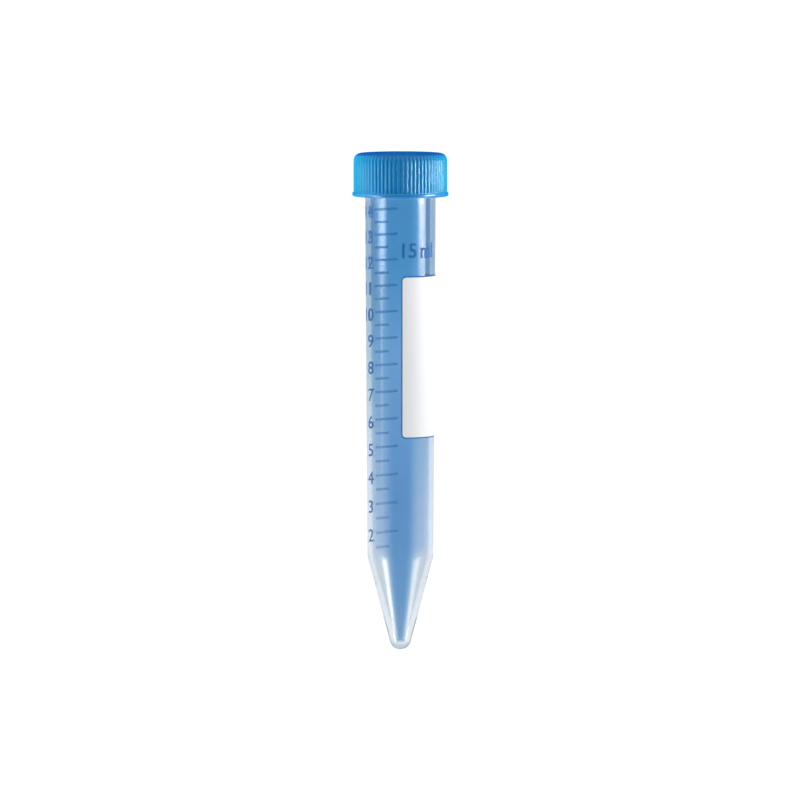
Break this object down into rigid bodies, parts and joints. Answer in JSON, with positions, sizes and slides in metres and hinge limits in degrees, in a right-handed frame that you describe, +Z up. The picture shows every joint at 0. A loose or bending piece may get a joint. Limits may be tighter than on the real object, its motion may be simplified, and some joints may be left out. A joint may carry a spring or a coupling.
{
  "type": "15 ml conical tube",
  "caption": "Clear blue conical-bottomed sample tube lying on its side, with a printed millilitre scale, a white writing patch and a ribbed blue screw cap that lifts off.",
  "frame": {"origin": "on the surface that the tube lies on, under the middle of its bounding box", "axes": "+Y along the tube towards the cap, 2.3 degrees above the surface, +Z up, +X to the side of the writing patch"},
  "size_m": [0.0232, 0.1202, 0.0231],
  "materials": {
    "clear_plastic": "clear moulded plastic with a light blue tint, glossy",
    "cap_plastic": "translucent blue moulded plastic, satin gloss",
    "white_ink": "opaque white printing ink, matt",
    "blue_ink": "dark blue printing ink, satin"
  },
  "bodies": {
    "tube_body": {"tube": "clear_plastic", "writing_patch": "white_ink", "mark_1.5_ml": "blue_ink", "mark_2_ml": "blue_ink", "mark_2.5_ml": "blue_ink", "mark_3_ml": "blue_ink", "mark_3.5_ml": "blue_ink", "mark_4_ml": "blue_ink", "mark_4.5_ml": "blue_ink", "mark_5_ml": "blue_ink", "mark_5.5_ml": "blue_ink", "mark_6_ml": "blue_ink", "mark_6.5_ml": "blue_ink", "mark_7_ml": "blue_ink", "mark_7.5_ml": "blue_ink", "mark_8_ml": "blue_ink", "mark_8.5_ml": "blue_ink", "mark_9_ml": "blue_ink", "mark_9.5_ml": "blue_ink", "mark_10_ml": "blue_ink", "mark_10.5_ml": "blue_ink", "mark_11_ml": "blue_ink", "mark_11.5_ml": "blue_ink", "mark_12_ml": "blue_ink", "mark_12.5_ml": "blue_ink", "mark_13_ml": "blue_ink", "mark_13.5_ml": "blue_ink", "mark_14_ml": "blue_ink"},
    "cap_body": {"cap": "cap_plastic"}
  },
  "joints": [
    {"name": "cap_lift", "type": "slide", "parent": "tube_body", "child": "cap_body", "axis": [0, 0.9992, 0.0399], "range_m": [0, 0.025]}
  ]
}
